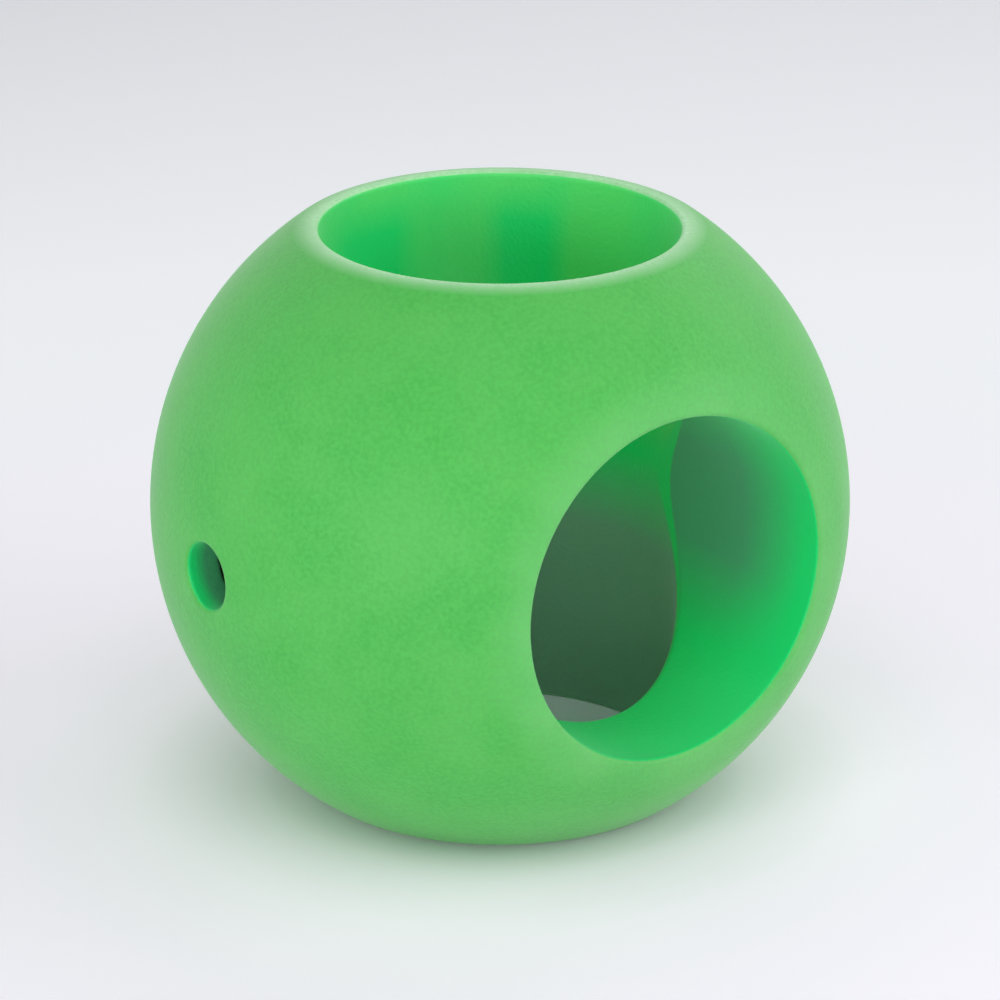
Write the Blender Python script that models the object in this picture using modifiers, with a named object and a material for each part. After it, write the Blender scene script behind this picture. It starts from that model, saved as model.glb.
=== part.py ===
"""Magnetic laundry ball.

A soft moulded ball with an upright bore from top to bottom and a side bore that opens into it. The wall
opposite the side bore is closed. The thick sides at the front and at the rear are its pillars, and each
holds a closed capsule with a disc magnet and the steel plate behind it. The magnet sets the size of its
capsule, and the capsule with the soft walls round it sets the pillar and so the bores. The ball stands on
the flat of its lower rim.

Metres, +Z up. The origin is in the middle of the ball's footprint box, on the surface that it stands on.
+Z runs along the upright bore, +X out of the side bore and +Y from the front pillar to the rear one.
"""

import math

import bpy
from mathutils import Matrix

# Driving dimensions of the soft body
BALL_RADIUS = 0.0375
SIDE_BORE_STEP = 0.0006         # how much narrower the side bore is than the upright one, at the wall
UPRIGHT_RIM_WIDTH = 0.0020      # from the bore wall to the sphere, at the height of the flat rim
SIDE_RIM_WIDTH = 0.0020
UPRIGHT_LIP_ROUND = 0.0035      # radius that rolls a rim into the sphere
SIDE_LIP_ROUND = 0.0120
RIM_EDGE_ROUND = 0.0004         # small radius where an upright rim meets its bore
SIDE_LIP_BITE = 0.00012         # how far below the sphere the side lip leaves it

# Magnet pockets and the holes that the mould pins leave
PIN_HOLE_RADIUS = 0.0036
OUTER_WALL = 0.0022             # soft wall between the outside and the outer edge of a magnet pocket
BORE_SIDE_WALL = 0.0036         # soft wall between a magnet pocket and the upright bore
POCKET_CLEARANCE = 0.0003

# Magnet and the steel plate on its outer face
MAGNET_RADIUS = 0.0100
MAGNET_THICKNESS = 0.0050
MAGNET_CHAMFER = 0.0004
PLATE_THICKNESS = 0.0015
PLATE_CHAMFER = 0.0003
MAGNET_FIT = 0.0003             # clearance of magnet and plate in the capsule and to each other

# Magnet capsule
CUP_WALL = 0.0012
CUP_FLOOR = 0.0012
CAP_THICKNESS = 0.0014
SPIGOT_LENGTH = 0.0012
SPIGOT_WALL = 0.0010
CAPSULE_CHAMFER = 0.0010
CAPSULE_FIT = 0.0003            # clearance between cup and cap

# Fineness of the round shapes
BALL_STEPS = 80                 # segments round the upright axis
SPHERE_ARC_POINTS = 25          # points from the upper rim to the lower one
LIP_ARC_POINTS = 6
EDGE_ARC_POINTS = 3
BORE_STEPS = 64
POCKET_STEPS = 48
CAPSULE_STEPS = 48
CUTTER_REACH = 0.010            # how far a cutter runs past the ball

# Capsule, worked out from the magnet outwards. Heights are above the capsule's base.
CUP_BORE = MAGNET_RADIUS + MAGNET_FIT
CAPSULE_RADIUS = CUP_BORE + CUP_WALL
MAGNET_BASE = CUP_FLOOR + MAGNET_FIT
PLATE_BASE = MAGNET_BASE + MAGNET_THICKNESS + MAGNET_FIT
CAP_UNDERSIDE = PLATE_BASE + PLATE_THICKNESS + MAGNET_FIT
CAPSULE_LENGTH = CAP_UNDERSIDE + CAP_THICKNESS
SPIGOT_OUTER = CUP_BORE - CAPSULE_FIT
SPIGOT_INNER = SPIGOT_OUTER - SPIGOT_WALL
PLATE_RADIUS = SPIGOT_INNER - MAGNET_FIT

# Pillar, worked out from the outside of the ball inwards. Distances are from the middle of the ball.
POCKET_RADIUS = CAPSULE_RADIUS + POCKET_CLEARANCE
POCKET_TOP = math.sqrt((BALL_RADIUS - OUTER_WALL) ** 2 - POCKET_RADIUS ** 2)
CAPSULE_BASE = POCKET_TOP - POCKET_CLEARANCE - CAPSULE_LENGTH
POCKET_FLOOR = CAPSULE_BASE - POCKET_CLEARANCE
UPRIGHT_BORE_RADIUS = POCKET_FLOOR - BORE_SIDE_WALL
SIDE_BORE_RADIUS = UPRIGHT_BORE_RADIUS - SIDE_BORE_STEP

# Flat rims, and the middle of the ball above the middle of its footprint box
UPRIGHT_RIM = math.sqrt(BALL_RADIUS ** 2 - (UPRIGHT_BORE_RADIUS + UPRIGHT_RIM_WIDTH) ** 2)
SIDE_RIM = math.sqrt(BALL_RADIUS ** 2 - (SIDE_BORE_RADIUS + SIDE_RIM_WIDTH) ** 2)
BALL_CENTRE = ((BALL_RADIUS - SIDE_RIM) / 2, 0.0, UPRIGHT_RIM)
MERGE = 0.00001

# The two pillars, and the turn about X that points an upright piece out through each
PILLARS = (("front", math.pi / 2), ("rear", -math.pi / 2))

# Colours (linear), roughness and metallic value of each piece
SOFT_GREEN = ((0.10, 0.53, 0.10, 1.0), 0.48, 0.0)
CAPSULE_GREY = ((0.035, 0.040, 0.038, 1.0), 0.40, 0.0)
MAGNET_NICKEL = ((0.60, 0.60, 0.58, 1.0), 0.22, 1.0)
PLATE_STEEL = ((0.42, 0.43, 0.44, 1.0), 0.38, 1.0)


def clear_scene():
    for item in list(bpy.data.objects):
        bpy.data.objects.remove(item, do_unlink=True)


def new_collection(name):
    collection = bpy.data.collections.new(name)
    bpy.context.scene.collection.children.link(collection)
    return collection


def make_material(name, finish):
    colour, roughness, metallic = finish
    material = bpy.data.materials.new(name)
    material.use_nodes = True
    shader = material.node_tree.nodes["Principled BSDF"]
    shader.inputs["Base Color"].default_value = colour
    shader.inputs["Roughness"].default_value = roughness
    shader.inputs["Metallic"].default_value = metallic
    material.diffuse_color = colour
    return material


def arc(centre, radius, start, end, count):
    """Points of an arc in the (radius, height) half plane, angles in radians from the radius axis."""
    points = []
    for index in range(count):
        angle = start + (end - start) * index / (count - 1)
        points.append((centre[0] + radius * math.cos(angle), centre[1] + radius * math.sin(angle)))
    return points


def turned_mesh(name, profile, closed):
    """A profile of (radius, height) points, drawn at +X for a Screw modifier about Z."""
    mesh = bpy.data.meshes.new(name)
    vertices = [(radius, 0.0, height) for radius, height in profile]
    edges = [(index, index + 1) for index in range(len(vertices) - 1)]
    if closed:
        edges.append((len(vertices) - 1, 0))
    mesh.from_pydata(vertices, edges, [])
    return mesh


def turned_object(name, mesh, steps, collection, parent):
    item = bpy.data.objects.new(name, mesh)
    collection.objects.link(item)
    item.parent = parent
    screw = item.modifiers.new("Turn", "SCREW")
    screw.axis = "Z"
    screw.angle = math.tau
    screw.steps = steps
    screw.render_steps = steps
    screw.use_merge_vertices = True
    screw.merge_threshold = MERGE
    screw.use_smooth_shade = True
    return item


def new_empty(name, collection, location):
    empty = bpy.data.objects.new(name, None)
    empty.location = location
    collection.objects.link(empty)
    return empty


def hide_cutter(cutter):
    cutter.hide_render = True
    cutter.display_type = "WIRE"


def cut(item, cutter, name):
    boolean = item.modifiers.new(name, "BOOLEAN")
    boolean.operation = "DIFFERENCE"
    boolean.solver = "EXACT"
    boolean.object = cutter
    hide_cutter(cutter)


def ball_profile():
    """Closed section of the ball round its upright bore, down the outside and up the bore wall."""
    lip_height = UPRIGHT_RIM - UPRIGHT_LIP_ROUND
    lip_reach = math.sqrt((BALL_RADIUS - UPRIGHT_LIP_ROUND) ** 2 - lip_height ** 2)
    join = math.atan2(lip_height, lip_reach)
    edge_centre = (UPRIGHT_BORE_RADIUS + RIM_EDGE_ROUND, UPRIGHT_RIM - RIM_EDGE_ROUND)
    quarter = math.pi / 2
    upper_edge = arc(edge_centre, RIM_EDGE_ROUND, math.pi, quarter, EDGE_ARC_POINTS)
    upper_lip = arc((lip_reach, lip_height), UPRIGHT_LIP_ROUND, quarter, join, LIP_ARC_POINTS)
    sphere = arc((0.0, 0.0), BALL_RADIUS, join, -join, SPHERE_ARC_POINTS)
    lower_lip = [(radius, -height) for radius, height in reversed(upper_lip)]
    lower_edge = [(radius, -height) for radius, height in reversed(upper_edge)]
    return upper_edge + upper_lip + sphere[1:-1] + lower_lip + lower_edge


def side_bore_profile():
    """What the side bore and its rim take away, from outside the ball to the middle of the upright bore.

    The lip is an arc through the rim of the bore. Its centre lies where the arc just dips under the sphere.
    """
    outside = BALL_RADIUS + CUTTER_REACH
    rim_distance = math.hypot(SIDE_BORE_RADIUS, SIDE_RIM)
    centre_distance = BALL_RADIUS - SIDE_LIP_ROUND - SIDE_LIP_BITE
    squares = centre_distance ** 2 + rim_distance ** 2 - SIDE_LIP_ROUND ** 2
    spread = math.acos(squares / (2 * centre_distance * rim_distance))
    join = math.atan2(SIDE_RIM, SIDE_BORE_RADIUS) - spread
    centre = (centre_distance * math.cos(join), centre_distance * math.sin(join))
    start = math.acos((SIDE_BORE_RADIUS - centre[0]) / SIDE_LIP_ROUND)
    lip = arc(centre, SIDE_LIP_ROUND, join, start, LIP_ARC_POINTS)
    run_out = (lip[0][0] + CUTTER_REACH * math.sin(join), lip[0][1] - CUTTER_REACH * math.cos(join))
    return [(0.0, outside), (run_out[0], outside), run_out] + lip + [(SIDE_BORE_RADIUS, 0.0), (0.0, 0.0)]


def pocket_profile():
    """What a magnet pocket and its pin hole take away, from outside the ball inwards."""
    outside = BALL_RADIUS + CUTTER_REACH
    return [
        (0.0, outside),
        (PIN_HOLE_RADIUS, outside),
        (PIN_HOLE_RADIUS, POCKET_TOP),
        (POCKET_RADIUS - CAPSULE_CHAMFER, POCKET_TOP),
        (POCKET_RADIUS, POCKET_TOP - CAPSULE_CHAMFER),
        (POCKET_RADIUS, POCKET_FLOOR + CAPSULE_CHAMFER),
        (POCKET_RADIUS - CAPSULE_CHAMFER, POCKET_FLOOR),
        (0.0, POCKET_FLOOR),
    ]


def cup_profile():
    """Capsule cup: a closed floor towards the bore and an open mouth towards the outside."""
    mouth = CAP_UNDERSIDE - CAPSULE_FIT
    return [
        (0.0, CUP_FLOOR),
        (CUP_BORE, CUP_FLOOR),
        (CUP_BORE, mouth),
        (CAPSULE_RADIUS, mouth),
        (CAPSULE_RADIUS, CAPSULE_CHAMFER),
        (CAPSULE_RADIUS - CAPSULE_CHAMFER, 0.0),
        (0.0, 0.0),
    ]


def cap_profile():
    """Cap with a ring-shaped spigot that reaches into the mouth of the cup, round the plate."""
    spigot_end = CAP_UNDERSIDE - SPIGOT_LENGTH
    return [
        (0.0, CAPSULE_LENGTH),
        (CAPSULE_RADIUS - CAPSULE_CHAMFER, CAPSULE_LENGTH),
        (CAPSULE_RADIUS, CAPSULE_LENGTH - CAPSULE_CHAMFER),
        (CAPSULE_RADIUS, CAP_UNDERSIDE),
        (SPIGOT_OUTER, CAP_UNDERSIDE),
        (SPIGOT_OUTER, spigot_end),
        (SPIGOT_INNER, spigot_end),
        (SPIGOT_INNER, CAP_UNDERSIDE),
        (0.0, CAP_UNDERSIDE),
    ]


def disc_profile(radius, bottom, thickness, chamfer):
    top = bottom + thickness
    return [
        (0.0, top),
        (radius - chamfer, top),
        (radius, top - chamfer),
        (radius, bottom + chamfer),
        (radius - chamfer, bottom),
        (0.0, bottom),
    ]


def build_soft_body(parts, cutters, ball_centre, material):
    mesh = turned_mesh("soft_body", ball_profile(), closed=True)
    mesh.materials.append(material)
    body = turned_object("soft_body", mesh, BALL_STEPS, parts, ball_centre)

    side_mesh = turned_mesh("side_bore_cutter", side_bore_profile(), closed=False)
    side_cutter = turned_object("side_bore_cutter", side_mesh, BORE_STEPS, cutters, ball_centre)
    side_cutter.rotation_euler = (0.0, math.pi / 2, 0.0)
    cut(body, side_cutter, "Side bore")

    pocket_mesh = turned_mesh("pocket_cutter", pocket_profile(), closed=False)
    for side, turn in PILLARS:
        name = f"pocket_cutter_{side}"
        pocket_cutter = turned_object(name, pocket_mesh, POCKET_STEPS, cutters, ball_centre)
        pocket_cutter.rotation_euler = (turn, 0.0, 0.0)
        cut(body, pocket_cutter, f"Pocket {side}")


def build_magnet_sets(parts, ball_centre, materials):
    magnet_profile = disc_profile(MAGNET_RADIUS, MAGNET_BASE, MAGNET_THICKNESS, MAGNET_CHAMFER)
    plate_profile = disc_profile(PLATE_RADIUS, PLATE_BASE, PLATE_THICKNESS, PLATE_CHAMFER)
    pieces = (
        ("magnet_cup", cup_profile(), materials["capsule"]),
        ("magnet_cap", cap_profile(), materials["capsule"]),
        ("magnet", magnet_profile, materials["magnet"]),
        ("back_plate", plate_profile, materials["plate"]),
    )
    for name, profile, material in pieces:
        mesh = turned_mesh(name, profile, closed=False)
        mesh.materials.append(material)
        for side, turn in PILLARS:
            piece = turned_object(f"{name}_{side}", mesh, CAPSULE_STEPS, parts, ball_centre)
            outward = Matrix.Rotation(turn, 3, "X").col[2]
            piece.location = outward * CAPSULE_BASE
            piece.rotation_euler = (turn, 0.0, 0.0)


def main():
    clear_scene()
    parts = new_collection("Magnetic laundry ball")
    cutters = new_collection("Cutters")
    ball_centre = new_empty("ball_centre", parts, BALL_CENTRE)
    materials = {
        "body": make_material("Soft green", SOFT_GREEN),
        "capsule": make_material("Capsule grey", CAPSULE_GREY),
        "magnet": make_material("Nickel plated magnet", MAGNET_NICKEL),
        "plate": make_material("Zinc plated steel", PLATE_STEEL),
    }
    build_soft_body(parts, cutters, ball_centre, materials["body"])
    build_magnet_sets(parts, ball_centre, materials)


main()
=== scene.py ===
"""Magnetic laundry ball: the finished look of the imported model.

The soft body is made again as one smooth skin, from a rule for the distance to its surface. The capsules,
magnets and back plates inside it are turned from their sections, with rounded edges. Lengths are in metres.
"""

import math

import bmesh
import bpy
from bpy.props import FloatProperty, FloatVectorProperty, IntProperty, PointerProperty
from bpy.types import Operator, Panel, PropertyGroup
from mathutils import Matrix, Vector


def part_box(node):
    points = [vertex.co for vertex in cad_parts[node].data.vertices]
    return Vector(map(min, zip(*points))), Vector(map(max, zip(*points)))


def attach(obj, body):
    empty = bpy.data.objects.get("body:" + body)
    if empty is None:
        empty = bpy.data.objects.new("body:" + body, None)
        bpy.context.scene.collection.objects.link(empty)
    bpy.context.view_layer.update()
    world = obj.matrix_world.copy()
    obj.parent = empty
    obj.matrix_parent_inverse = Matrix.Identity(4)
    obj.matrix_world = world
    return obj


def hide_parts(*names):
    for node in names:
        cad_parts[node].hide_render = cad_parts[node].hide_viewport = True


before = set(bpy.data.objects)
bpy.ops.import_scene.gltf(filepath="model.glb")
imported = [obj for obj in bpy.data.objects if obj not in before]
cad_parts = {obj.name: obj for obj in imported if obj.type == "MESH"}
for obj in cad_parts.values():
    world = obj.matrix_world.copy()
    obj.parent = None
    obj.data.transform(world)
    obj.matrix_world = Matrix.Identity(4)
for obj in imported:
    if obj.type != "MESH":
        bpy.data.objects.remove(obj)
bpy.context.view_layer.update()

bl_info = {
    "name": "Magnetic Laundry Ball",
    "version": (1, 0, 0),
    "blender": (4, 5, 0),
    "location": "3D View > Sidebar > Laundry Ball",
    "description": "Makes the soft body, the magnet sets and the stage of a magnetic laundry ball",
    "category": "Object",
}

BODY_LOW, BODY_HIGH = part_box("soft_body")

# Viewing angle of the photograph, in degrees
PHOTO_AZIMUTH = 54.4
PHOTO_ELEVATION = 21.3


def side_view(node):
    """Inner end, outer end and radius of a round piece of the rear magnet set."""
    low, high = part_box(node)
    return low.y, high.y, (high.x - low.x) / 2


CUP_INNER_END, CUP_MOUTH, CAPSULE_RADIUS = side_view("magnet_cup_rear")
CAP_INNER_END, CAP_OUTER_END, CAP_RADIUS = side_view("magnet_cap_rear")
MAGNET_INNER_FACE, MAGNET_OUTER_FACE, MAGNET_RADIUS = side_view("magnet_rear")
PLATE_INNER_FACE, PLATE_OUTER_FACE, PLATE_RADIUS = side_view("back_plate_rear")


def length(name, description, default):
    """A size that a user can set."""
    return FloatProperty(name=name, description=description, default=default, min=0.0, unit="LENGTH")


def share(name, description, default):
    """A value from 0 to 1 that a user can set."""
    return FloatProperty(name=name, description=description, default=default, min=0.0, max=1.0)


def angle(name, description, default):
    """An angle that a user can set, given in degrees."""
    return FloatProperty(name=name, description=description, default=math.radians(default), subtype="ANGLE")


def watts(name, description, default):
    return FloatProperty(name=name, description=description, default=default, min=0.0, subtype="POWER")


def colour(name, description, default):
    """A linear colour that a user can set."""
    return FloatVectorProperty(
        name=name, description=description, default=default, size=3, min=0.0, max=1.0, subtype="COLOR"
    )


class SoftBodySizes(PropertyGroup):
    """Sizes of the soft body, apart from those that the frame gives."""

    ball_radius: length("Ball radius", "Radius of the outside", 0.0375)
    bore_wall: length("Bore wall", "Soft wall between a magnet pocket and the upright bore", 0.0036)
    side_bore_step: length("Side bore step", "How much narrower the side bore is", 0.0006)
    upright_lip: length("Upright lip", "Radius that rolls the upper and lower rims into the sphere", 0.0035)
    side_lip: length("Side lip", "Radius that rolls the side rim into the sphere", 0.0120)
    rim_edge: length("Rim edge", "Radius where a rim meets its bore", 0.0005)
    junction: length("Bore junction", "Radius of the edge where the two bores meet", 0.0007)
    pin_hole: length("Pin hole", "Radius of the holes left by the mould pins", 0.0036)
    pin_edge: length("Pin hole edge", "Radius round the mouth of a pin hole", 0.0004)
    pocket_fit: length("Pocket clearance", "Gap between a capsule and its pocket", 0.0003)
    pocket_round: length("Pocket round", "Radius round both ends of a pocket", 0.0010)
    voxel: length("Voxel", "Size of a cell of the volume that the skin is drawn from", 0.00024)
    adaptivity: share("Adaptivity", "How freely flat stretches take larger faces", 0.0015)
    relax: IntProperty(name="Relax steps", description="Rounds of evening out the faces", default=6, min=0)


class MagnetSetSizes(PropertyGroup):
    """Sizes of the capsules, magnets and back plates, apart from those that the frame gives."""

    cup_wall: length("Cup wall", "Wall and floor of a capsule's cup", 0.0012)
    spigot_length: length("Spigot length", "How far the ring of a cap reaches into its cup", 0.0012)
    spigot_wall: length("Spigot wall", "Wall of that ring", 0.0010)
    capsule_round: length("Capsule round", "Radius round both ends of a capsule", 0.0010)
    magnet_round: length("Magnet round", "Radius round the edges of a magnet", 0.0004)
    plate_round: length("Plate round", "Radius round the edges of a back plate", 0.0003)
    edge_round: length("Edge round", "Radius that breaks the other edges", 0.0002)
    steps: IntProperty(name="Steps", description="Faces round a turned piece", default=128, min=12)


class FinishColours(PropertyGroup):
    """Colours of the finishes, linear."""

    skin: colour("Skin", "Matt outside of the ball", (0.044, 0.455, 0.053))
    skin_pale: colour("Pale skin", "Lighter and yellower clouds in the skin", (0.082, 0.500, 0.082))
    # Painted highlight: a pale band along the rims of the bores, where sheen and reflection catch the light
    painted_rim_highlight: colour("Painted rim highlight", "Rims of the bores, rubbed pale", (0.500, 0.900, 0.520))
    # Painted light: a lighter, cleaner copy of the green inside the bores, for the light that falls in near
    # the rims
    bore: colour("Bore", "Cleaner green of the bores near the rims", (0.003, 0.750, 0.180))
    # Painted light: yellower where light falls straight on the upper walls
    bore_painted_light: colour("Pale bore", "Yellower green of the upper walls", (0.095, 0.770, 0.165))
    # Painted shade: deeper inside the side bore, and in the pin holes
    bore_shade: colour("Shaded bore", "Deeper green inside the side bore", (0.112, 0.385, 0.230))
    # Painted shade: a duller, greyer green low down in the upright bore
    bore_painted_shade_low: colour("Painted low bore shade", "Duller green low down in the upright bore", (0.235, 0.430, 0.300))
    capsule_grey: colour("Capsule grey", "Moulded magnet capsules", (0.035, 0.040, 0.038))
    nickel: colour("Nickel", "Plating of the magnets", (0.600, 0.595, 0.560))
    zinc: colour("Zinc", "Plating of the back plates", (0.480, 0.500, 0.530))
    floor: colour("Floor", "Pale floor of the stage", (0.850, 0.872, 0.920))
    floor_near: colour("Floor by the ball", "Evens out the green that the ball throws", (0.920, 0.840, 0.980))


class StudioSettings(PropertyGroup):
    """Camera and light of the stage."""

    azimuth: angle("Azimuth", "Turn of the camera from the front", PHOTO_AZIMUTH)
    elevation: angle("Elevation", "Height of the camera above the horizon", PHOTO_ELEVATION)
    distance: length("Distance", "From the camera to the middle of the ball", 0.475)
    field: length("Field", "Width of the view at the middle of the ball", 0.1075)
    left_power: watts("Left softbox", "Power of the softbox far round on the left", 0.57)
    low_power: watts("Low softbox", "Power of the wide softbox near the floor in front", 2.2)
    top_power: watts("Top softbox", "Power of the softbox above the camera", 0.83)
    right_power: watts("Right softbox", "Power of the wide softbox on the right", 2.15)
    back_power: watts("Back softbox", "Power of the softbox behind the ball", 0.88)
    room_light: share("Room light", "Light that comes from all round", 0.26)
    floor_glow: share("Floor glow", "Light that comes up through the floor", 0.12)
    floor_white: share("Floor white", "White that the floor shows without being lit", 0.09)
    floor_fade: length("Floor fade", "Distance from the ball where the floor is plain white", 0.70)


def ball_middle(sizes):
    return Vector((BODY_LOW.x + sizes.ball_radius, 0.0, BODY_HIGH.z / 2))


def bore_sizes(sizes):
    """Floor of a magnet pocket and radii of the upright and side bores, from the middle of the ball."""
    pocket_floor = CUP_INNER_END - sizes.pocket_fit
    upright_bore = pocket_floor - sizes.bore_wall
    return pocket_floor, upright_bore, upright_bore - sizes.side_bore_step


class NodeMaths:
    """Writes Math nodes into a tree from plain calls, so that a rule reads like its formula."""

    def __init__(self, tree):
        self.tree = tree

    def make(self, operation, *values):
        node = self.tree.nodes.new("ShaderNodeMath")
        node.operation = operation
        for socket, value in zip(node.inputs, values):
            if isinstance(value, bpy.types.NodeSocket):
                self.tree.links.new(value, socket)
            else:
                socket.default_value = value
        return node.outputs[0]

    def add(self, a, b):
        return self.make("ADD", a, b)

    def less(self, a, b):
        return self.make("SUBTRACT", a, b)

    def times(self, a, b):
        return self.make("MULTIPLY", a, b)

    def minus(self, a):
        return self.make("MULTIPLY", a, -1.0)

    def size(self, a):
        return self.make("ABSOLUTE", a)

    def smaller(self, a, b):
        return self.make("MINIMUM", a, b)

    def larger(self, a, b):
        return self.make("MAXIMUM", a, b)

    def exceeds(self, a, b):
        return self.make("GREATER_THAN", a, b)

    def square(self, a):
        return self.make("MULTIPLY", a, a)

    def root(self, a):
        return self.make("SQRT", a)

    def reach(self, a, b):
        """Length of the diagonal with sides a and b."""
        return self.root(self.add(self.square(a), self.square(b)))

    def choose(self, test, yes, no):
        """yes where test is 1, no where it is 0."""
        return self.add(no, self.times(test, self.less(yes, no)))

    def common(self, a, b, radius):
        """Distance to what two shapes share, with the edge between them rounded."""
        past_a = self.larger(self.add(a, radius), 0.0)
        past_b = self.larger(self.add(b, radius), 0.0)
        inside = self.smaller(self.larger(a, b), self.minus(radius))
        return self.add(inside, self.reach(past_a, past_b))


def add_node(tree, kind, **settings):
    node = tree.nodes.new(kind)
    for name, value in settings.items():
        setattr(node, name, value)
    return node


def new_tree(name, inputs, outputs):
    """A Geometry Nodes tree with named sockets, given as (name, socket type) pairs, and its two end nodes."""
    tree = bpy.data.node_groups.new(name, "GeometryNodeTree")
    for label, kind in inputs:
        tree.interface.new_socket(label, in_out="INPUT", socket_type=kind)
    for label, kind in outputs:
        tree.interface.new_socket(label, in_out="OUTPUT", socket_type=kind)
    return tree, tree.nodes.new("NodeGroupInput"), tree.nodes.new("NodeGroupOutput")


SIZE_INPUTS = (
    "Ball radius",
    "Rim height",
    "Side rim",
    "Upright bore",
    "Side bore",
    "Upright lip",
    "Side lip",
    "Rim edge",
    "Junction",
    "Pin hole",
    "Pin edge",
    "Pocket radius",
    "Pocket inner end",
    "Pocket outer end",
    "Pocket round",
)
SIZE_SOCKETS = tuple((name, "NodeSocketFloat") for name in SIZE_INPUTS)


def distance_tree():
    """The rule of the soft body: the distance from a place to its surface, negative in the soft material."""
    place_socket = (("Place", "NodeSocketVector"),)
    distance_socket = (("Distance", "NodeSocketFloat"),)
    tree, given, result = new_tree("Distance to the soft body", place_socket + SIZE_SOCKETS, distance_socket)
    maths = NodeMaths(tree)
    size = {name: given.outputs[name] for name in SIZE_INPUTS}
    split = tree.nodes.new("ShaderNodeSeparateXYZ")
    tree.links.new(given.outputs["Place"], split.inputs[0])
    x, y, z = split.outputs
    from_upright_axis = maths.reach(x, y)
    from_side_axis = maths.reach(y, z)
    sphere = maths.less(maths.reach(from_upright_axis, z), size["Ball radius"])

    # Upper and lower rims: a flat land, and a lip round a circle in the sphere
    height = maths.size(z)
    lip_height = maths.less(size["Rim height"], size["Upright lip"])
    lip_sphere = maths.less(size["Ball radius"], size["Upright lip"])
    lip_radius = maths.root(maths.less(maths.square(lip_sphere), maths.square(lip_height)))
    past_land = maths.exceeds(from_upright_axis, lip_radius)
    above_sphere = maths.exceeds(maths.times(height, lip_radius), maths.times(from_upright_axis, lip_height))
    to_lip = maths.reach(maths.less(from_upright_axis, lip_radius), maths.less(height, lip_height))
    land = maths.larger(sphere, maths.less(height, size["Rim height"]))
    on_lip = maths.times(past_land, above_sphere)
    upright_side = maths.choose(on_lip, maths.less(to_lip, size["Upright lip"]), land)

    # Side rim: a lip that starts tangent to the sphere and ends on the bore
    rim_distance = maths.reach(size["Side bore"], size["Side rim"])
    side_centre = maths.less(size["Ball radius"], size["Side lip"])
    squares = maths.add(maths.square(side_centre), maths.square(rim_distance))
    spread_cosine = maths.make(
        "DIVIDE",
        maths.less(squares, maths.square(size["Side lip"])),
        maths.times(2.0, maths.times(side_centre, rim_distance)),
    )
    rim_angle = maths.make("ARCTAN2", size["Side bore"], size["Side rim"])
    join_angle = maths.add(rim_angle, maths.make("ARCCOSINE", spread_cosine))
    side_lip_radius = maths.times(side_centre, maths.make("SINE", join_angle))
    side_lip_reach = maths.times(side_centre, maths.make("COSINE", join_angle))
    cone = maths.times(x, maths.make("TANGENT", join_angle))
    on_side_lip = maths.times(maths.exceeds(x, 0.0), maths.exceeds(cone, from_side_axis))
    to_side_lip = maths.reach(maths.less(from_side_axis, side_lip_radius), maths.less(x, side_lip_reach))
    side_side = maths.choose(on_side_lip, maths.less(to_side_lip, size["Side lip"]), sphere)
    outside = maths.larger(upright_side, side_side)

    # Both bores. The side bore ends in the upright one, so the wall opposite it stays closed.
    upright_wall = maths.less(size["Upright bore"], from_upright_axis)
    side_wall = maths.smaller(maths.less(size["Side bore"], from_side_axis), x)
    walls = maths.common(upright_wall, side_wall, size["Junction"])
    bored = maths.common(outside, walls, size["Rim edge"])

    # Magnet pockets, the same at the front and at the rear, and their pin holes
    along = maths.size(y)
    across = maths.reach(x, z)
    ends = maths.add(size["Pocket inner end"], size["Pocket outer end"])
    middle = maths.times(ends, 0.5)
    half = maths.times(maths.less(size["Pocket outer end"], size["Pocket inner end"]), 0.5)
    past_end = maths.less(maths.size(maths.less(along, middle)), maths.less(half, size["Pocket round"]))
    past_side = maths.less(across, maths.less(size["Pocket radius"], size["Pocket round"]))
    corner = maths.reach(maths.larger(past_end, 0.0), maths.larger(past_side, 0.0))
    core = maths.smaller(maths.larger(past_end, past_side), 0.0)
    pocket = maths.less(maths.add(corner, core), size["Pocket round"])
    pin_hole = maths.larger(maths.less(across, size["Pin hole"]), maths.less(middle, along))
    hollow = maths.smaller(pocket, pin_hole)
    body = maths.common(bored, maths.minus(hollow), size["Pin edge"])
    tree.links.new(body, result.inputs[0])
    return tree


def add_rule(tree, rule, given, place):
    """The rule as a node of another tree, with that tree's size inputs and the given place."""
    node = add_node(tree, "GeometryNodeGroup", node_tree=rule)
    tree.links.new(place, node.inputs["Place"])
    for name in SIZE_INPUTS:
        tree.links.new(given.outputs[name], node.inputs[name])
    return node


def surface_tree(rule):
    """Moves a place onto the surface, straight down or up the slope of the distance."""
    slope_step = 0.00002
    place_socket = (("Place", "NodeSocketVector"),)
    tree, given, result = new_tree("Place on the soft body", place_socket + SIZE_SOCKETS, place_socket)
    maths = NodeMaths(tree)

    def distance_at(offset):
        moved = add_node(tree, "ShaderNodeVectorMath", operation="ADD")
        moved.inputs[1].default_value = offset
        tree.links.new(given.outputs["Place"], moved.inputs[0])
        return add_rule(tree, rule, given, moved.outputs[0]).outputs["Distance"]

    slope = tree.nodes.new("ShaderNodeCombineXYZ")
    for index in range(3):
        ahead = Vector.Fill(3)
        ahead[index] = slope_step
        tree.links.new(maths.less(distance_at(ahead), distance_at(-ahead)), slope.inputs[index])
    unit_slope = add_node(tree, "ShaderNodeVectorMath", operation="NORMALIZE")
    tree.links.new(slope.outputs[0], unit_slope.inputs[0])
    shift = add_node(tree, "ShaderNodeVectorMath", operation="SCALE")
    tree.links.new(unit_slope.outputs[0], shift.inputs[0])
    tree.links.new(distance_at(Vector.Fill(3)), shift.inputs["Scale"])
    settled = add_node(tree, "ShaderNodeVectorMath", operation="SUBTRACT")
    tree.links.new(given.outputs["Place"], settled.inputs[0])
    tree.links.new(shift.outputs[0], settled.inputs[1])
    tree.links.new(settled.outputs[0], result.inputs[0])
    return tree


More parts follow.
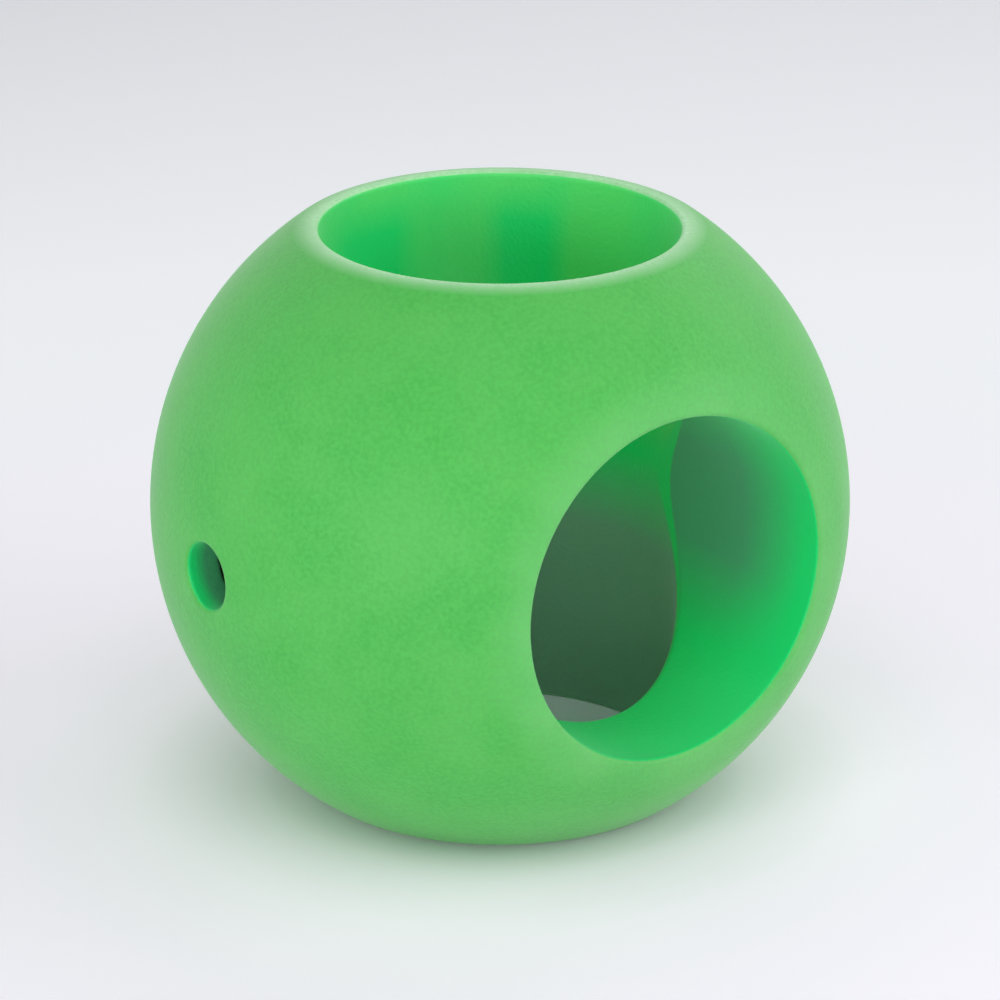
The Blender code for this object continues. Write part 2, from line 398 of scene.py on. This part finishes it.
def settle(tree, given, onto, geometry, rounds, even_out):
    """Puts every vertex on the surface in rounds, each evened out between its neighbours first if wanted."""
    start = tree.nodes.new("GeometryNodeRepeatInput")
    end = tree.nodes.new("GeometryNodeRepeatOutput")
    start.pair_with_output(end)
    tree.links.new(geometry, start.inputs["Geometry"])
    if isinstance(rounds, bpy.types.NodeSocket):
        tree.links.new(rounds, start.inputs["Iterations"])
    else:
        start.inputs["Iterations"].default_value = rounds
    place = tree.nodes.new("GeometryNodeInputPosition").outputs[0]
    if even_out:
        blur = add_node(tree, "GeometryNodeBlurAttribute", data_type="FLOAT_VECTOR")
        tree.links.new(place, blur.inputs["Value"])
        place = blur.outputs["Value"]
    on_surface = add_rule(tree, onto, given, place)
    move = tree.nodes.new("GeometryNodeSetPosition")
    tree.links.new(start.outputs["Geometry"], move.inputs["Geometry"])
    tree.links.new(on_surface.outputs["Place"], move.inputs["Position"])
    tree.links.new(move.outputs["Geometry"], end.inputs["Geometry"])
    return end.outputs["Geometry"]


def soft_body_tree():
    """The whole skin: a volume filled by the rule, its surface drawn as a mesh and settled."""
    rule = distance_tree()
    onto = surface_tree(rule)
    inputs = SIZE_SOCKETS + (
        ("Middle", "NodeSocketVector"),
        ("Low corner", "NodeSocketVector"),
        ("High corner", "NodeSocketVector"),
        ("Voxel", "NodeSocketFloat"),
        ("Adaptivity", "NodeSocketFloat"),
        ("Relax steps", "NodeSocketInt"),
        ("Material", "NodeSocketMaterial"),
    )
    tree, given, result = new_tree("Soft body", inputs, (("Geometry", "NodeSocketGeometry"),))
    maths = NodeMaths(tree)
    place = tree.nodes.new("GeometryNodeInputPosition").outputs[0]
    distance = add_rule(tree, rule, given, place).outputs["Distance"]

    volume = tree.nodes.new("GeometryNodeVolumeCube")
    volume.inputs["Background"].default_value = -1.0
    tree.links.new(maths.minus(distance), volume.inputs["Density"])
    tree.links.new(given.outputs["Low corner"], volume.inputs["Min"])
    tree.links.new(given.outputs["High corner"], volume.inputs["Max"])
    extent = add_node(tree, "ShaderNodeVectorMath", operation="SUBTRACT")
    tree.links.new(given.outputs["High corner"], extent.inputs[0])
    tree.links.new(given.outputs["Low corner"], extent.inputs[1])
    split = tree.nodes.new("ShaderNodeSeparateXYZ")
    tree.links.new(extent.outputs[0], split.inputs[0])
    for axis in "XYZ":
        cells = maths.make("DIVIDE", split.outputs[axis], given.outputs["Voxel"])
        tree.links.new(cells, volume.inputs[f"Resolution {axis}"])

    skin = add_node(tree, "GeometryNodeVolumeToMesh", resolution_mode="GRID")
    skin.inputs["Threshold"].default_value = 0.0
    tree.links.new(volume.outputs[0], skin.inputs["Volume"])
    tree.links.new(given.outputs["Adaptivity"], skin.inputs["Adaptivity"])
    relaxed = settle(tree, given, onto, skin.outputs["Mesh"], given.outputs["Relax steps"], even_out=True)
    settled = settle(tree, given, onto, relaxed, rounds=2, even_out=False)
    smooth = tree.nodes.new("GeometryNodeSetShadeSmooth")
    tree.links.new(settled, smooth.inputs["Geometry"])
    put = tree.nodes.new("GeometryNodeTransform")
    tree.links.new(smooth.outputs[0], put.inputs["Geometry"])
    tree.links.new(given.outputs["Middle"], put.inputs["Translation"])
    realize = tree.nodes.new("GeometryNodeRealizeInstances")
    tree.links.new(put.outputs[0], realize.inputs["Geometry"])
    paint = tree.nodes.new("GeometryNodeSetMaterial")
    tree.links.new(realize.outputs[0], paint.inputs["Geometry"])
    tree.links.new(given.outputs["Material"], paint.inputs["Material"])
    tree.links.new(paint.outputs[0], result.inputs[0])
    return tree


def grown_mesh(name, tree, values):
    """Runs a Geometry Nodes tree with these input values and gives its result as a plain mesh."""
    seed = bpy.data.objects.new(name, bpy.data.meshes.new(name))
    bpy.context.scene.collection.objects.link(seed)
    modifier = seed.modifiers.new("Grow", "NODES")
    modifier.node_group = tree
    for item in tree.interface.items_tree:
        if item.in_out == "INPUT":
            modifier[item.identifier] = values[item.name]
    evaluated = seed.evaluated_get(bpy.context.evaluated_depsgraph_get())
    mesh = bpy.data.meshes.new_from_object(evaluated)
    bpy.data.objects.remove(seed)
    mesh.name = name
    return mesh


def show_piece(name, mesh, node):
    """Puts a finished mesh in the scene as the piece that stands for a node."""
    piece = bpy.data.objects.new(name, mesh)
    bpy.context.scene.collection.objects.link(piece)
    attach(piece, "root")
    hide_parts(node)
    return piece


def rounded(corners):
    """A section of (radius, height, edge radius) corners as points, with its edges rounded and held tight."""
    arc_steps = 5
    hold = 0.00005  # a point this far before and after each round keeps the flats flat
    spots = [Vector(corner[:2]) for corner in corners]
    points = [spots[0]]
    for before, spot, after, corner in zip(spots, spots[1:], spots[2:], corners[1:]):
        back = (before - spot).normalized()
        on = (after - spot).normalized()
        cut = corner[2] / math.tan(back.angle(on) / 2)
        start = spot + back * cut
        end = spot + on * cut
        points.append(start + back * hold)
        for step in range(arc_steps + 1):
            along = step / arc_steps
            points.append(start.lerp(spot, along).lerp(spot.lerp(end, along), along))
        points.append(end + on * hold)
    points.append(spots[-1])
    return points


def turned_mesh(name, corners, steps, place):
    """A closed solid from a section that starts and ends on its axis, turned round Z and put in its place."""
    same_place = 0.000002
    shape = bmesh.new()
    rings = []
    for radius, height in rounded(corners):
        count = steps if radius > 0.0 else 1
        turns = [math.tau * index / count for index in range(count)]
        ring = [shape.verts.new((radius * math.cos(turn), radius * math.sin(turn), height)) for turn in turns]
        rings.append(ring)
    for ring, following in zip(rings, rings[1:]):
        for index in range(steps):
            beside = (index + 1) % steps
            corner_vertices = (
                ring[index % len(ring)],
                ring[beside % len(ring)],
                following[beside % len(following)],
                following[index % len(following)],
            )
            shape.faces.new(dict.fromkeys(corner_vertices))
    bmesh.ops.remove_doubles(shape, verts=shape.verts, dist=same_place)
    bmesh.ops.recalc_face_normals(shape, faces=shape.faces)
    bmesh.ops.transform(shape, matrix=place, verts=shape.verts)
    mesh = bpy.data.meshes.new(name)
    shape.to_mesh(mesh)
    shape.free()
    mesh.shade_smooth()
    return mesh


class LAUNDRYBALL_OT_soft_body(Operator):
    """Make the soft body with its bores, rims, pin holes and magnet pockets"""

    bl_idname = "laundry_ball.soft_body"
    bl_label = "Soft Body"

    def execute(self, context):
        sizes = context.scene.laundry_ball_sizes
        middle = ball_middle(sizes)
        reach = Vector((sizes.ball_radius,) * 3)
        margin = Vector((4 * sizes.voxel,) * 3)
        cells = [math.ceil(2 * side / sizes.voxel) for side in reach + margin]
        low = -(reach + margin)
        high = low + Vector(cells) * sizes.voxel
        pocket_floor, upright_bore, side_bore = bore_sizes(sizes)
        values = {
            "Ball radius": sizes.ball_radius,
            "Rim height": middle.z,
            "Side rim": BODY_HIGH.x - middle.x,
            "Upright bore": upright_bore,
            "Side bore": side_bore,
            "Upright lip": sizes.upright_lip,
            "Side lip": sizes.side_lip,
            "Rim edge": sizes.rim_edge,
            "Junction": sizes.junction,
            "Pin hole": sizes.pin_hole,
            "Pin edge": sizes.pin_edge,
            "Pocket radius": CAPSULE_RADIUS + sizes.pocket_fit,
            "Pocket inner end": pocket_floor,
            "Pocket outer end": CAP_OUTER_END + sizes.pocket_fit,
            "Pocket round": sizes.pocket_round,
            "Middle": middle,
            "Low corner": low,
            "High corner": high,
            "Voxel": sizes.voxel,
            "Adaptivity": sizes.adaptivity,
            "Relax steps": sizes.relax,
            "Material": soft_green_material(context.scene.laundry_ball_colours, sizes, middle),
        }
        mesh = grown_mesh("ball_body", soft_body_tree(), values)
        show_piece("ball_body", mesh, "soft_body")
        return {"FINISHED"}


class Finish:
    """One material with its shader, and the textures that it needs on Object coordinates."""

    def __init__(self, name):
        self.material = bpy.data.materials.new(name)
        self.material.use_nodes = True
        self.tree = self.material.node_tree
        self.shader = self.tree.nodes["Principled BSDF"]
        self.place = self.tree.nodes.new("ShaderNodeTexCoord").outputs["Object"]

    def set(self, **values):
        """Sets sockets of the shader, whose names are given with _ for a space."""
        for name, value in values.items():
            self.shader.inputs[name.replace("_", " ")].default_value = value

    def link(self, output, name):
        self.tree.links.new(output, self.shader.inputs[name])

    def noise(self, grain, detail=2.0, stretch=(1.0, 1.0, 1.0)):
        """Noise whose grains are about this size, in metres."""
        mapping = self.tree.nodes.new("ShaderNodeMapping")
        mapping.inputs["Scale"].default_value = stretch
        self.tree.links.new(self.place, mapping.inputs["Vector"])
        node = self.tree.nodes.new("ShaderNodeTexNoise")
        node.inputs["Scale"].default_value = 1.0 / grain
        node.inputs["Detail"].default_value = detail
        self.tree.links.new(mapping.outputs[0], node.inputs["Vector"])
        return node.outputs["Fac"]

    def ranged(self, value, low, high, start=0.35, end=0.65):
        """Spreads what lies between start and end over low to high."""
        node = self.tree.nodes.new("ShaderNodeMapRange")
        node.inputs["From Min"].default_value = start
        node.inputs["From Max"].default_value = end
        node.inputs["To Min"].default_value = low
        node.inputs["To Max"].default_value = high
        self.tree.links.new(value, node.inputs["Value"])
        return node.outputs[0]

    def blended(self, factor, first, second):
        """The first colour where the factor is 0 and the second where it is 1."""
        node = add_node(self.tree, "ShaderNodeMix", data_type="RGBA")
        factor_in, first_in, second_in = node.inputs[0], node.inputs[6], node.inputs[7]
        for value, socket in ((factor, factor_in), (first, first_in), (second, second_in)):
            if isinstance(value, bpy.types.NodeSocket):
                self.tree.links.new(value, socket)
            else:
                socket.default_value = value
        return node.outputs[2]

    def bumped(self, height, depth, over=None):
        """A bump of this depth in metres, laid over another bump."""
        node = self.tree.nodes.new("ShaderNodeBump")
        node.inputs["Distance"].default_value = depth
        self.tree.links.new(height, node.inputs["Height"])
        if over:
            self.tree.links.new(over, node.inputs["Normal"])
        return node.outputs[0]


def opaque(colour_value, gain=1.0):
    return tuple(channel * gain for channel in colour_value) + (1.0,)


# Distances past the radius of a bore over which one finish of the soft body passes into the next, such as the
# painted highlight on the rims, in metres
PAINTED_HIGHLIGHT_UPRIGHT_RIM = (0.0006, 0.0028)
PAINTED_HIGHLIGHT_SIDE_RIM = (0.0008, 0.0050)
WALL_EDGE = (0.00005, 0.0001)

# The same along an axis or all round, from the middle of the ball, for the bores and the painted light and
# painted shade in them
CORE_END = (0.030, 0.031)
PAINTED_SHADE_WALL_TOP = (-0.009, 0.001)
PAINTED_LIGHT_WALL_START = (0.002, 0.010)
PAINTED_SHADE_PATCH_TOP = (0.0255, 0.0295)
SHADE_OUTER_END = (0.019, 0.029)
SHADE_LOW_END = (-0.013, -0.005)
SHADE_HIGH_END = (0.006, 0.013)
PIN_HOLE_SHADE = (0.0350, 0.0364)

# Patches of painted shade on the upper wall, where the painted light is left out: place across the view, and
# half widths where they are whole and gone
PAINTED_SHADE_PATCHES = ((-0.0138, 0.0025, 0.0052), (0.0028, 0.0022, 0.0050))


class BodyPlaces:
    """Masks that tell the places of the soft body from each other. x, y and z start at its middle."""

    def __init__(self, finish, sizes, middle):
        self.finish = finish
        self.maths = maths = NodeMaths(finish.tree)
        upright_bore, side_bore = bore_sizes(sizes)[1:]
        from_middle = add_node(finish.tree, "ShaderNodeVectorMath", operation="SUBTRACT")
        from_middle.inputs[1].default_value = middle
        finish.tree.links.new(finish.place, from_middle.inputs[0])
        split = finish.tree.nodes.new("ShaderNodeSeparateXYZ")
        finish.tree.links.new(from_middle.outputs[0], split.inputs[0])
        self.x, self.y, self.z = split.outputs
        from_upright_axis = maths.reach(self.x, self.y)
        self.past_upright_bore = maths.less(from_upright_axis, upright_bore)
        self.past_side_bore = maths.less(maths.reach(self.y, self.z), side_bore)
        past_pin_hole = maths.less(maths.reach(self.x, self.z), sizes.pin_hole)
        self.side_half = maths.exceeds(self.x, 0.0)
        self.in_upright = finish.ranged(self.past_upright_bore, 1.0, 0.0, *WALL_EDGE)
        self.in_side = finish.ranged(self.past_side_bore, 1.0, 0.0, *WALL_EDGE)
        outside_core = maths.exceeds(maths.size(self.y), CUP_INNER_END)
        self.in_pin = maths.times(finish.ranged(past_pin_hole, 1.0, 0.0, *WALL_EDGE), outside_core)
        in_core = finish.ranged(maths.reach(from_upright_axis, self.z), 1.0, 0.0, *CORE_END)
        in_upright_or_core = maths.larger(self.in_upright, in_core)
        in_either_bore = maths.larger(in_upright_or_core, maths.times(self.in_side, self.side_half))
        self.in_bore = maths.larger(in_either_bore, self.in_pin)

    def painted_light_upper_wall(self):
        """Painted light on the upper wall of the upright bore, without two patches of painted shade that face
        the camera.
        """
        maths = self.maths
        turn = math.radians(PHOTO_AZIMUTH)
        away = maths.less(maths.times(self.y, math.cos(turn)), maths.times(self.x, math.sin(turn)))
        across = maths.add(maths.times(self.x, math.cos(turn)), maths.times(self.y, math.sin(turn)))
        patches = [
            self.finish.ranged(maths.size(maths.less(across, place)), 1.0, 0.0, whole, gone)
            for place, whole, gone in PAINTED_SHADE_PATCHES
        ]
        painted_shade_patch = maths.times(maths.larger(*patches), maths.exceeds(away, 0.0))
        painted_shade_patch = maths.times(painted_shade_patch, self.finish.ranged(self.z, 1.0, 0.0, *PAINTED_SHADE_PATCH_TOP))
        wall = maths.times(self.in_upright, self.finish.ranged(self.z, 0.0, 1.0, *PAINTED_LIGHT_WALL_START))
        return maths.times(wall, maths.less(1.0, painted_shade_patch))

    def painted_shade_lower_wall(self):
        """Painted shade on the lower wall of the upright bore."""
        return self.maths.times(self.in_upright, self.finish.ranged(self.z, 1.0, 0.0, *PAINTED_SHADE_WALL_TOP))

    def side_wall(self):
        """Painted shade on the wall of the side bore away from its rim and floor, and half of it near its
        ceiling.
        """
        maths = self.maths
        wall = maths.times(self.in_side, maths.less(1.0, maths.larger(self.in_upright, self.in_pin)))
        wall = maths.times(wall, self.finish.ranged(self.x, 1.0, 0.0, *SHADE_OUTER_END))
        wall = maths.times(wall, self.finish.ranged(self.z, 0.0, 1.0, *SHADE_LOW_END))
        return maths.times(wall, self.finish.ranged(self.z, 1.0, 0.5, *SHADE_HIGH_END))

    def pin_hole_depth(self):
        """Painted shade in the pin holes away from their mouths."""
        depth = self.finish.ranged(self.maths.size(self.y), 1.0, 0.0, *PIN_HOLE_SHADE)
        return self.maths.times(self.in_pin, depth)


def skin_colour(finish, places, colours, clouds):
    """Outside: clouds, a painted highlight along the rims of the bores, and a lighter speckle."""
    side_rim_strength = 0.13
    weakest_rim_highlight = 0.7
    speckle_strength = 0.3
    maths = places.maths
    skin = finish.blended(finish.ranged(clouds, 0.0, 1.0), opaque(colours.skin), opaque(colours.skin_pale))
    # Painted highlight along the rims of the bores, broken up by the clouds
    upright_rim = finish.ranged(places.past_upright_bore, 1.0, 0.0, *PAINTED_HIGHLIGHT_UPRIGHT_RIM)
    side_rim = finish.ranged(places.past_side_bore, side_rim_strength, 0.0, *PAINTED_HIGHLIGHT_SIDE_RIM)
    rims = maths.larger(maths.times(side_rim, places.side_half), upright_rim)
    painted_rim_highlight = maths.times(rims, finish.ranged(clouds, weakest_rim_highlight, 1.0))
    skin = finish.blended(painted_rim_highlight, skin, opaque(colours.painted_rim_highlight))
    speckle = finish.ranged(finish.noise(grain=0.0005, detail=2.0), 0.0, speckle_strength)
    return finish.blended(speckle, skin, opaque(colours.skin_pale, gain=1.3))


def bore_colour(finish, places, colours):
    """Bores and pin holes: a lighter, cleaner green as painted light, yellower painted light high up, and
    painted shade that is duller or darker deep inside.
    """
    least_yellow = 0.6
    shade_strength = 0.9
    pin_hole_strength = 0.75
    maths = places.maths
    streak_noise = finish.noise(grain=0.011, detail=2.0, stretch=(1.0, 1.0, 0.25))
    # Painted light: streaks of yellower green on the upper wall of the upright bore
    yellower = maths.times(places.painted_light_upper_wall(), finish.ranged(streak_noise, least_yellow, 1.0, 0.42, 0.62))
    # Painted shade deep in the side bore, and darker painted shade in the pin holes
    shaded = maths.times(places.side_wall(), shade_strength)
    darker = maths.times(places.pin_hole_depth(), pin_hole_strength)
    wall = finish.blended(yellower, opaque(colours.bore), opaque(colours.bore_painted_light))
    wall = finish.blended(shaded, wall, opaque(colours.bore_shade))
    # Painted shade low down in the upright bore
    wall = finish.blended(places.painted_shade_lower_wall(), wall, opaque(colours.bore_painted_shade_low))
    return finish.blended(darker, wall, opaque(colours.bore_shade, gain=0.7))


def soft_green_material(colours, sizes, middle):
    """Soft rubber from a matt mould: a pale skin with faint clouds and a fine grain, and bores painted as lit
    and shaded copies of the green.
    """
    bores_smoother_by = 0.08
    finish = Finish("Soft green")
    places = BodyPlaces(finish, sizes, middle)
    clouds = finish.noise(grain=0.009, detail=6.0)
    skin = skin_colour(finish, places, colours, clouds)
    # Painted light: the bores take the lighter, cleaner green, which the painted shade darkens further in
    finish.link(finish.blended(places.in_bore, skin, bore_colour(finish, places, colours)), "Base Color")
    smoother = places.maths.times(places.in_bore, bores_smoother_by)
    finish.link(places.maths.less(finish.ranged(clouds, 0.50, 0.60), smoother), "Roughness")
    wave = finish.bumped(finish.noise(grain=0.009, detail=1.0), depth=0.0001)
    finish.link(finish.bumped(finish.noise(grain=0.00045, detail=2.0), depth=0.00005, over=wave), "Normal")
    finish.set(
        IOR=1.50,
        Sheen_Weight=0.20,
        Sheen_Roughness=0.45,
        Subsurface_Weight=0.08,
        Subsurface_Radius=(0.35, 1.0, 0.35),
        Subsurface_Scale=0.0015,
    )
    return finish.material


def capsule_material(colours):
    """Hard plastic with a fine sparked grain and faint flow lines."""
    finish = Finish("Capsule grey")
    streak_noise = finish.noise(grain=0.006, detail=3.0, stretch=(1.0, 3.0, 1.0))
    dark, light = opaque(colours.capsule_grey), opaque(colours.capsule_grey, gain=1.35)
    finish.link(finish.blended(finish.ranged(streak_noise, 0.0, 1.0), dark, light), "Base Color")
    finish.link(finish.ranged(streak_noise, 0.36, 0.44), "Roughness")
    finish.link(finish.bumped(finish.noise(grain=0.00025), depth=0.00001), "Normal")
    return finish.material


def nickel_material(colours):
    """Bright plating with fine hairlines and faint dull patches."""
    finish = Finish("Nickel plated magnet")
    patches = finish.noise(grain=0.004, detail=4.0)
    hairlines = finish.noise(grain=0.0015, detail=3.0, stretch=(1.0, 1.0, 14.0))
    bright, dulled = opaque(colours.nickel), opaque(colours.nickel, gain=0.86)
    finish.link(finish.blended(finish.ranged(patches, 0.0, 1.0), bright, dulled), "Base Color")
    finish.link(finish.ranged(hairlines, 0.16, 0.30), "Roughness")
    finish.link(finish.bumped(hairlines, depth=0.000002), "Normal")
    finish.set(Metallic=1.0)
    return finish.material


def zinc_material(colours):
    """Zinc plating with cloudy crystals on punched steel."""
    finish = Finish("Zinc plated steel")
    crystals = finish.noise(grain=0.0022, detail=5.0)
    dark, light = opaque(colours.zinc), opaque(colours.zinc, gain=1.25)
    finish.link(finish.blended(finish.ranged(crystals, 0.0, 1.0), dark, light), "Base Color")
    finish.link(finish.ranged(crystals, 0.28, 0.46), "Roughness")
    finish.link(finish.bumped(crystals, depth=0.000004), "Normal")
    finish.set(Metallic=1.0)
    return finish.material


def cup_section(sizes):
    """Capsule cup: closed towards the bore, open towards the outside."""
    mouth = CUP_MOUTH - CUP_INNER_END
    cup_bore = CAPSULE_RADIUS - sizes.cup_wall
    return (
        (0.0, sizes.cup_wall, 0.0),
        (cup_bore, sizes.cup_wall, sizes.edge_round),
        (cup_bore, mouth, sizes.edge_round),
        (CAPSULE_RADIUS, mouth, sizes.edge_round),
        (CAPSULE_RADIUS, 0.0, sizes.capsule_round),
        (0.0, 0.0, 0.0),
    )


def cap_section(sizes):
    """Cap with a ring that reaches into the mouth of the cup, round the plate."""
    top = CAP_OUTER_END - CUP_INNER_END
    ring_end = CAP_INNER_END - CUP_INNER_END
    underside = ring_end + sizes.spigot_length
    ring_inside = PLATE_RADIUS + (CAPSULE_RADIUS - sizes.cup_wall - MAGNET_RADIUS)
    ring_outside = ring_inside + sizes.spigot_wall
    return (
        (0.0, top, 0.0),
        (CAP_RADIUS, top, sizes.capsule_round),
        (CAP_RADIUS, underside, sizes.edge_round),
        (ring_outside, underside, sizes.edge_round),
        (ring_outside, ring_end, sizes.edge_round),
        (ring_inside, ring_end, sizes.edge_round),
        (ring_inside, underside, sizes.edge_round),
        (0.0, underside, 0.0),
    )


def disc_section(inner_face, outer_face, radius, edge_round):
    bottom = inner_face - CUP_INNER_END
    top = outer_face - CUP_INNER_END
    return ((0.0, top, 0.0), (radius, top, edge_round), (radius, bottom, edge_round), (0.0, bottom, 0.0))


class LAUNDRYBALL_OT_magnet_sets(Operator):
    """Make the capsules, magnets and back plates of both pillars"""

    bl_idname = "laundry_ball.magnet_sets"
    bl_label = "Magnet Sets"

    def execute(self, context):
        colours = context.scene.laundry_ball_colours
        sizes = context.scene.laundry_ball_magnets
        middle = ball_middle(context.scene.laundry_ball_sizes)
        magnet = disc_section(MAGNET_INNER_FACE, MAGNET_OUTER_FACE, MAGNET_RADIUS, sizes.magnet_round)
        plate = disc_section(PLATE_INNER_FACE, PLATE_OUTER_FACE, PLATE_RADIUS, sizes.plate_round)
        grey = capsule_material(colours)
        pieces = (
            ("capsule_cup", cup_section(sizes), grey, "capsule", "magnet_cup"),
            ("capsule_cap", cap_section(sizes), grey, "capsule", "magnet_cap"),
            ("disc_magnet", magnet, nickel_material(colours), "magnet", "magnet"),
            ("steel_plate", plate, zinc_material(colours), "plate", "back_plate"),
        )
        for side, turn in (("front", math.pi / 2), ("rear", -math.pi / 2)):
            turned = Matrix.Rotation(turn, 4, "X")
            place = Matrix.Translation(middle) @ turned @ Matrix.Translation((0.0, 0.0, CUP_INNER_END))
            for name, section, material, slot, node in pieces:
                mesh = turned_mesh(f"{name}_{side}", section, sizes.steps, place)
                mesh.materials.append(material)
                show_piece(f"{name}_{side}", mesh, f"{node}_{side}")
        return {"FINISHED"}


def seen_rays(tree):
    """1 for a ray that sees or mirrors, 0 for one that lights."""
    rays = tree.nodes.new("ShaderNodeLightPath")
    maths = NodeMaths(tree)
    seen = maths.larger(rays.outputs["Is Camera Ray"], rays.outputs["Is Glossy Ray"])
    return maths.larger(seen, rays.outputs["Is Transmission Ray"])


# Distances from the ball's middle over which the floor changes, in metres
TINT_END = (0.03, 0.14)
GLOW_START = (0.026, 0.040)
WHITE_START = (0.022, 0.027)


def floor_material(colours, middle, studio):
    """Pale table lit from below round the ball, which takes its shadow, with a painted shadow at its foot,
    and is plain white further away.
    """
    finish = Finish("Pale floor")
    finish.set(Roughness=0.75, Emission_Color=opaque((1.0, 1.0, 1.0)))
    maths = NodeMaths(finish.tree)
    fade = studio.floor_fade
    split = finish.tree.nodes.new("ShaderNodeSeparateXYZ")
    finish.tree.links.new(finish.place, split.inputs[0])
    from_ball = maths.reach(maths.less(split.outputs[0], middle.x), split.outputs[1])
    near = finish.ranged(from_ball, 1.0, 0.0, *TINT_END)
    away = finish.ranged(from_ball, 0.0, 1.0, fade / 2, fade)
    paper = finish.blended(near, opaque(colours.floor), opaque(colours.floor_near))
    finish.link(finish.blended(away, paper, opaque(colours.floor, gain=0.0)), "Base Color")
    glow = finish.ranged(from_ball, 0.0, studio.floor_glow, *GLOW_START)
    glow = maths.times(glow, finish.ranged(from_ball, 1.0, 0.0, fade / 4, fade / 2))
    # Painted shadow: no white under the ball, fading in where it meets the floor, so the floor seen through
    # the lower bore and a thin line round its foot stay darker
    white = finish.ranged(from_ball, 0.0, studio.floor_white, *WHITE_START)
    white = maths.times(maths.larger(away, white), seen_rays(finish.tree))
    finish.link(maths.add(glow, white), "Emission Strength")
    return finish.material


# Softboxes: name, power setting, azimuth and elevation in degrees, distance, width and height
SOFTBOXES = (
    ("Left softbox", "left_power", -30.0, 30.0, 0.70, 0.50, 0.40),
    ("Low softbox", "low_power", 30.0, 10.0, 0.70, 1.00, 0.20),
    ("Top softbox", "top_power", 54.0, 60.0, 0.70, 0.42, 0.36),
    ("Right softbox", "right_power", 132.0, 24.0, 0.70, 0.75, 0.50),
    ("Back softbox", "back_power", 212.0, 38.0, 0.70, 0.70, 0.40),
)


def direction(azimuth, elevation):
    """Unit vector towards an azimuth, turned from the front to the right, and an elevation."""
    level = math.cos(elevation)
    return Vector((math.sin(azimuth) * level, -math.cos(azimuth) * level, math.sin(elevation)))


def aim(item, target, way, distance):
    """Puts a lamp or camera this way and distance from its target, and turns it to face it."""
    item.location = target + way * distance
    item.rotation_euler = way.to_track_quat("Z", "Y").to_euler()
    bpy.context.scene.collection.objects.link(item)


def add_softboxes(studio, target):
    for name, power, azimuth, elevation, distance, width, height in SOFTBOXES:
        data = bpy.data.lights.new(name, "AREA")
        data.shape = "RECTANGLE"
        data.size = width
        data.size_y = height
        data.energy = getattr(studio, power)
        way = direction(math.radians(azimuth), math.radians(elevation))
        aim(bpy.data.objects.new(name, data), target, way, distance)


def add_world(room_light):
    """White all round where it is seen or mirrored, and only as bright as the room light where it lights."""
    world = bpy.data.worlds.new("Studio")
    world.use_nodes = True
    tree = world.node_tree
    background = tree.nodes["Background"]
    background.inputs["Color"].default_value = (1.0, 1.0, 1.0, 1.0)
    strength = NodeMaths(tree).choose(seen_rays(tree), 1.0, room_light)
    tree.links.new(strength, background.inputs["Strength"])
    bpy.context.scene.world = world


def add_camera(studio, target):
    sensor = 0.036
    data = bpy.data.cameras.new("Camera")
    data.sensor_width = sensor * 1000
    data.lens = sensor * 1000 * studio.distance / studio.field
    data.clip_start = 0.01
    data.clip_end = 10.0
    camera = bpy.data.objects.new("Camera", data)
    aim(camera, target, direction(studio.azimuth, studio.elevation), studio.distance)
    bpy.context.scene.camera = camera


class LAUNDRYBALL_OT_stage(Operator):
    """Make the floor, the studio light and the camera"""

    bl_idname = "laundry_ball.stage"
    bl_label = "Stage"

    def execute(self, context):
        studio = context.scene.laundry_ball_studio
        sizes = context.scene.laundry_ball_sizes
        target = ball_middle(sizes)

        mesh = bpy.data.meshes.new("floor")
        half = 3.0
        corners = [(-half, -half, 0.0), (half, -half, 0.0), (half, half, 0.0), (-half, half, 0.0)]
        mesh.from_pydata(corners, [], [(0, 1, 2, 3)])
        colours = context.scene.laundry_ball_colours
        mesh.materials.append(floor_material(colours, target, studio))
        floor = bpy.data.objects.new("floor", mesh)
        context.scene.collection.objects.link(floor)

        add_softboxes(studio, target)
        add_world(studio.room_light)
        add_camera(studio, target)
        context.scene.view_settings.view_transform = "Standard"
        return {"FINISHED"}


class LAUNDRYBALL_PT_panel(Panel):
    """The steps that make the laundry ball"""

    bl_idname = "LAUNDRYBALL_PT_panel"
    bl_label = "Laundry Ball"
    bl_space_type = "VIEW_3D"
    bl_region_type = "UI"
    bl_category = "Laundry Ball"

    def draw(self, context):
        layout = self.layout
        for step in STEPS:
            layout.operator(step.bl_idname)
        for setting, group in SETTINGS:
            box = layout.box()
            for name in group.__annotations__:
                box.prop(getattr(context.scene, setting), name)


STEPS = (LAUNDRYBALL_OT_soft_body, LAUNDRYBALL_OT_magnet_sets, LAUNDRYBALL_OT_stage)
SETTINGS = (
    ("laundry_ball_sizes", SoftBodySizes),
    ("laundry_ball_magnets", MagnetSetSizes),
    ("laundry_ball_colours", FinishColours),
    ("laundry_ball_studio", StudioSettings),
)


def register():
    for name, group in SETTINGS:
        bpy.utils.register_class(group)
        setattr(bpy.types.Scene, name, PointerProperty(type=group))
    for item in STEPS + (LAUNDRYBALL_PT_panel,):
        bpy.utils.register_class(item)


def unregister():
    for item in reversed(STEPS + (LAUNDRYBALL_PT_panel,)):
        bpy.utils.unregister_class(item)
    for name, group in reversed(SETTINGS):
        delattr(bpy.types.Scene, name)
        bpy.utils.unregister_class(group)


def main():
    register()
    bpy.ops.laundry_ball.soft_body()
    bpy.ops.laundry_ball.magnet_sets()
    bpy.ops.laundry_ball.stage()


if __name__ == "__main__":
    main()
